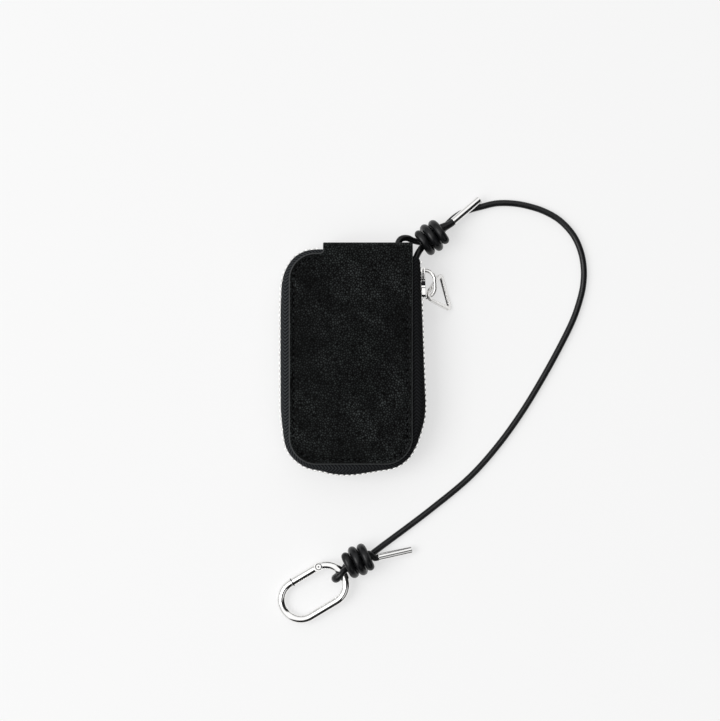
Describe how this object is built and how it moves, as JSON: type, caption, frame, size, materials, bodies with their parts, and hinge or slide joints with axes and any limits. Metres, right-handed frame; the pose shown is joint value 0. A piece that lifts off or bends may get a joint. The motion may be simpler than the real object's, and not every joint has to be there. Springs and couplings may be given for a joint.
{
  "type": "key case",
  "caption": "Zip-round black leather key case with spine, key hooks inside, and a knotted leather cord ending in an oval snap ring.",
  "frame": {"origin": "middle of the back panel, on its outer face, which lies on the table", "axes": "+X across the case towards the slider, +Y along the case towards the spine, +Z from the back panel up to the front panel"},
  "size_m": [0.1473, 0.2026, 0.02],
  "materials": {
    "leather_black": "pebbled, painted edges",
    "leather_lining": "smooth",
    "board": "fibre board",
    "tape_black": "woven",
    "teeth_metal": "polished",
    "nickel": "polished nickel",
    "cord_black": "smooth"
  },
  "bodies": {
    "case": {"back_panel": "leather_black", "back_stiffener": "board", "back_lining": "leather_lining", "spine_panel": "leather_black", "spine_fold": "leather_black", "zip_tape_back": "tape_black", "zip_teeth_back": "teeth_metal", "zip_top_stop_back": "teeth_metal", "zip_bottom_stop": "teeth_metal", "key_bar": "nickel", "key_bar_rivets": "nickel", "hook_studs": "nickel", "cord": "cord_black", "ferrule_case_end": "nickel", "ferrule_ring_end": "nickel"},
    "cover": {"front_panel": "leather_black", "front_stiffener": "board", "front_lining": "leather_lining", "card_pocket": "leather_lining", "zip_tape_front": "tape_black", "zip_teeth_front": "teeth_metal", "zip_top_stop_front": "teeth_metal"},
    "slider": {"slider_body": "nickel", "slider_bail": "nickel"},
    "pull": {"pull_loop": "nickel"},
    "ring": {"snap_ring": "nickel", "gate_pin": "nickel"},
    "gate": {"ring_gate": "nickel"},
    "hook_1": {"key_hook_1": "nickel"},
    "hook_gate_1": {"hook_gate_1": "nickel"},
    "hook_2": {"key_hook_2": "nickel"},
    "hook_gate_2": {"hook_gate_2": "nickel"},
    "hook_3": {"key_hook_3": "nickel"},
    "hook_gate_3": {"hook_gate_3": "nickel"},
    "hook_4": {"key_hook_4": "nickel"},
    "hook_gate_4": {"hook_gate_4": "nickel"}
  },
  "joints": [
    {"name": "cover_fold", "type": "hinge", "parent": "case", "child": "cover", "pos_m": [0, 0.049, 0.017], "axis": [-1, 0, 0], "range_deg": [0, 110], "deforming": ["spine_fold", "zip_teeth_front"]},
    {"name": "slider_travel", "type": "slide", "parent": "case", "child": "slider", "axis": [0.036, -0.9994, 0], "range_m": [0, 0.045], "deforming": ["zip_teeth_back"]},
    {"name": "pull_swing", "type": "hinge", "parent": "slider", "child": "pull", "pos_m": [0.03817, 0.02747, 0.01], "axis": [-0.7424, -0.6699, 0], "range_deg": [-20, 18]},
    {"name": "ring_lift", "type": "hinge", "parent": "case", "child": "ring", "pos_m": [-0.00397, -0.10432, 0.0055], "axis": [-0.5662, 0.8243, -0.0056], "range_deg": [0, 75]},
    {"name": "gate_open", "type": "hinge", "parent": "ring", "child": "gate", "pos_m": [-0.01533, -0.101, 0.00465], "axis": [-0.0904, -0.0554, 0.9944], "range_deg": [0, 33], "stiffness_Nm_per_rad": 0.05},
    {"name": "hook_swivel_1", "type": "hinge", "parent": "case", "child": "hook_1", "pos_m": [-0.0165, 0.038, 0.00495], "axis": [0, 0, 1], "range_deg": [-7, 7]},
    {"name": "hook_swivel_2", "type": "hinge", "parent": "case", "child": "hook_2", "pos_m": [-0.0055, 0.038, 0.00495], "axis": [0, 0, 1], "range_deg": [-7, 7]},
    {"name": "hook_swivel_3", "type": "hinge", "parent": "case", "child": "hook_3", "pos_m": [0.0055, 0.038, 0.00495], "axis": [0, 0, 1], "range_deg": [-7, 7]},
    {"name": "hook_swivel_4", "type": "hinge", "parent": "case", "child": "hook_4", "pos_m": [0.0165, 0.038, 0.00495], "axis": [0, 0, 1], "range_deg": [-7, 7]},
    {"name": "hook_gate_open_1", "type": "hinge", "parent": "hook_1", "child": "hook_gate_1", "pos_m": [-0.0138, 0.0304, 0.00495], "axis": [0, 0, -1], "range_deg": [0, 14], "stiffness_Nm_per_rad": 0.002},
    {"name": "hook_gate_open_2", "type": "hinge", "parent": "hook_2", "child": "hook_gate_2", "pos_m": [-0.0028, 0.0304, 0.00495], "axis": [0, 0, -1], "range_deg": [0, 14], "stiffness_Nm_per_rad": 0.002},
    {"name": "hook_gate_open_3", "type": "hinge", "parent": "hook_3", "child": "hook_gate_3", "pos_m": [0.0082, 0.0304, 0.00495], "axis": [0, 0, -1], "range_deg": [0, 14], "stiffness_Nm_per_rad": 0.002},
    {"name": "hook_gate_open_4", "type": "hinge", "parent": "hook_4", "child": "hook_gate_4", "pos_m": [0.0192, 0.0304, 0.00495], "axis": [0, 0, -1], "range_deg": [0, 14], "stiffness_Nm_per_rad": 0.002}
  ]
}
